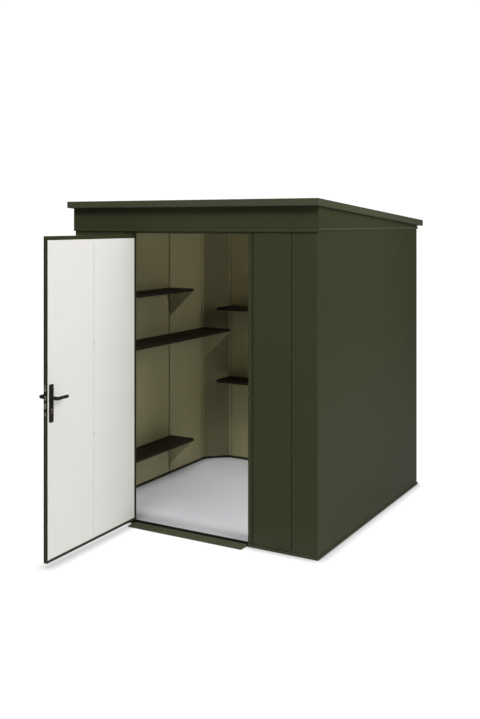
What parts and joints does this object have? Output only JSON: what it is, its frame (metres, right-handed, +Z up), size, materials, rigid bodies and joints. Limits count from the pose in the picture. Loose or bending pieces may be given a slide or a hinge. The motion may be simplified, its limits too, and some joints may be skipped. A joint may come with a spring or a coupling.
{
  "type": "metal tool shed",
  "caption": "Hollow double-skin metal tool shed with a low pent roof, shelves and one hinged door, shown open with a spring lever handle.",
  "frame": {"origin": "on the ground, at the middle of the shed's footprint, without the open door", "axes": "+Z up; -Y out through the door; +X to the right when looking at the door"},
  "size_m": [1.938, 2.8243, 2.1925],
  "materials": {
    "olive_coat": "satin powder coat",
    "roof_coat": "satin powder coat",
    "cream_coat": "satin coil coat",
    "floor_sheet": "matt",
    "shelf_coat": "satin powder coat",
    "black_handle": "satin black",
    "bare_steel": "brushed",
    "seal_strip": "matt"
  },
  "bodies": {
    "shed": {"floor_panel": "floor_sheet", "base_rail_front": "olive_coat", "base_rail_left": "olive_coat", "base_rail_right": "olive_coat", "base_rail_back": "olive_coat", "entry_ramp": "roof_coat", "threshold_strip": "seal_strip", "corner_post_front_left": "olive_coat", "corner_post_front_right": "olive_coat", "corner_post_back_left": "olive_coat", "corner_post_back_right": "olive_coat", "left_wall_outer": "olive_coat", "left_wall_inner": "cream_coat", "right_wall_outer": "olive_coat", "right_wall_inner": "cream_coat", "back_wall_outer": "olive_coat", "back_wall_inner": "cream_coat", "front_wall_left": "olive_coat", "front_wall_right": "olive_coat", "door_jamb_left": "olive_coat", "door_jamb_right": "olive_coat", "door_head": "olive_coat", "front_fascia": "roof_coat", "gable_left": "olive_coat", "gable_right": "olive_coat", "back_top_rail": "olive_coat", "roof_panel": "roof_coat", "roof_trim_front": "roof_coat", "roof_trim_back": "roof_coat", "roof_trim_left": "roof_coat", "roof_trim_right": "roof_coat", "shelf_left_upper": "shelf_coat", "shelf_left_middle": "shelf_coat", "shelf_left_lower": "shelf_coat", "shelf_back_upper": "shelf_coat", "shelf_back_lower": "shelf_coat", "shelf_brackets_left": "cream_coat", "shelf_brackets_back": "cream_coat", "strike_plate": "bare_steel", "hinge_jamb_halves": "olive_coat"},
    "door": {"door_outer_skin": "olive_coat", "door_stiles": "olive_coat", "door_rails": "olive_coat", "door_inner_sheet_hinge": "cream_coat", "door_inner_sheet_lock": "cream_coat", "lock_faceplate": "bare_steel", "lock_backplates": "black_handle", "lock_cylinder": "bare_steel", "hinge_door_halves": "olive_coat"},
    "lever": {"lever_inside": "black_handle", "lever_outside": "black_handle"}
  },
  "joints": [
    {"name": "door_swing", "type": "hinge", "parent": "shed", "child": "door", "pos_m": [-0.4535, -0.934, 1], "axis": [0, 0, 1], "range_deg": [-21.5, 88.5]},
    {"name": "lever_turn", "type": "hinge", "parent": "door", "child": "lever", "pos_m": [-0.40676, -1.80207, 1.004], "axis": [-0.9997, -0.0262, 0], "range_deg": [0, 45], "stiffness_Nm_per_rad": 1.5, "springref_deg": -28.65}
  ]
}
